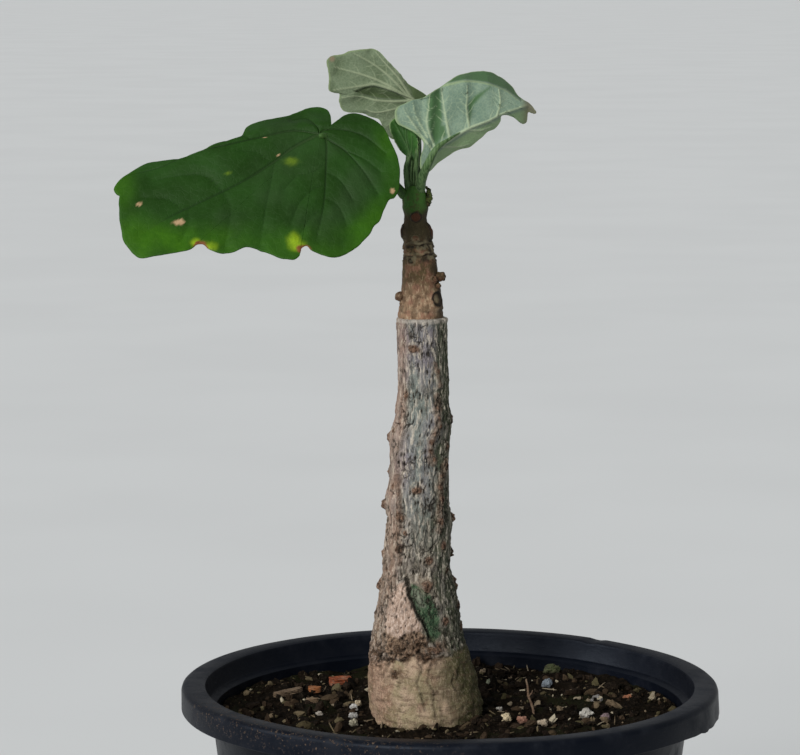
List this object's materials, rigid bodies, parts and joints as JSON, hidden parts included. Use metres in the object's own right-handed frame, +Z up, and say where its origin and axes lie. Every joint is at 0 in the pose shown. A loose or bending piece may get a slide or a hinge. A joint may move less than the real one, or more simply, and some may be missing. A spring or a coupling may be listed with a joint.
{
  "type": "potted caudex plant",
  "caption": "Grafted caudex plant with a swollen warty trunk and a few broad leaves, standing in a round rimmed pot of gritty soil.",
  "frame": {"origin": "centre of the pot's flat underside, where it rests", "axes": "+Z up along the pot's axis, -Y towards the plant's showing side, +X to its right"},
  "size_m": [0.1658, 0.15, 0.3011],
  "materials": {
    "pot_plastic": "near-black injection-moulded plastic, satin, dusty on the rim",
    "potting_mix": "dark crumbly peat with grit, matte",
    "rootstock_bark": "grey-lilac fissured bark with brown warts and a green peeled patch",
    "scion_bark": "tan-brown smooth bark with leaf scars, green at the growing end",
    "mature_leaf": "dark green, fine veined, soft sheen, yellow at its damaged edge",
    "young_leaf": "pale grey-green felted underside with raised veins",
    "dry_bark": "dry fibrous bark and twig, matte",
    "pumice": "pale porous pumice, matte and pitted",
    "grit": "rough grit, matte"
  },
  "bodies": {
    "root": {"pot": "pot_plastic", "potting_mix": "potting_mix", "rootstock_stem": "rootstock_bark", "scion_stem": "scion_bark", "leaf_left_large": "mature_leaf", "leaf_back_left": "young_leaf", "leaf_right": "young_leaf", "leaf_centre_folded": "young_leaf", "leaf_bud": "young_leaf", "twig": "dry_bark", "bark_chip_red": "dry_bark", "bark_chip_orange": "dry_bark", "bark_chip_long": "dry_bark", "bark_chip_tan": "dry_bark", "pumice_cream": "pumice", "grit_red": "grit", "pumice_tan": "pumice", "pumice_white": "pumice", "grit_grey": "grit", "grit_purple": "grit", "pumice_small": "pumice", "stone_blue_grey": "grit", "moss_clod": "potting_mix", "grit_tan": "grit", "grit_rust": "grit", "pumice_green": "pumice", "pumice_left": "pumice", "pumice_grey": "pumice", "pumice_ash": "pumice", "grit_cream": "grit", "pumice_olive": "pumice"}
  },
  "joints": []
}
